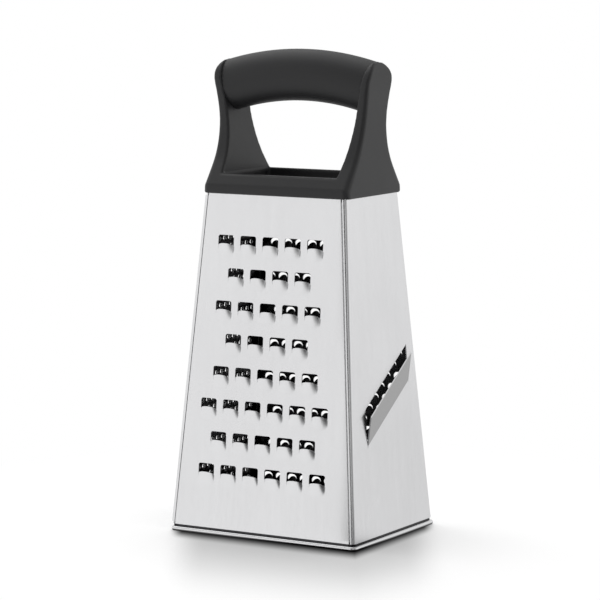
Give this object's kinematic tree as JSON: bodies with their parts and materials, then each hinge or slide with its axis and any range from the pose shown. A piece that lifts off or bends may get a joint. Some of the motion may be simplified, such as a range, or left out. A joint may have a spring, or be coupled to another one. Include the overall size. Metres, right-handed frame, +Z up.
{
  "type": "box grater",
  "caption": "Tapered four-sided kitchen grater of sheet steel on a beaded rim, with a moulded collar, two uprights and an arched soft grip.",
  "frame": {"origin": "middle of the base, on the surface that the grater stands on", "axes": "+Z up along the body, -Y out of the coarse side, +X out of the slicing side"},
  "size_m": [0.1092, 0.0834, 0.2449],
  "materials": {
    "sheet_steel": "fine satin",
    "rim_steel": "polished satin",
    "handle_plastic": "matte",
    "grip_rubber": "soft matte",
    "screw_steel": "plated"
  },
  "bodies": {
    "root": {"front_panel": "sheet_steel", "back_panel": "sheet_steel", "left_panel": "sheet_steel", "right_panel": "sheet_steel", "base_rim": "rim_steel", "top_plate": "sheet_steel", "handle_frame": "handle_plastic", "grip_sleeve": "grip_rubber", "handle_screw_front_left": "screw_steel", "handle_screw_front_right": "screw_steel", "handle_screw_back_left": "screw_steel", "handle_screw_back_right": "screw_steel"}
  },
  "joints": []
}
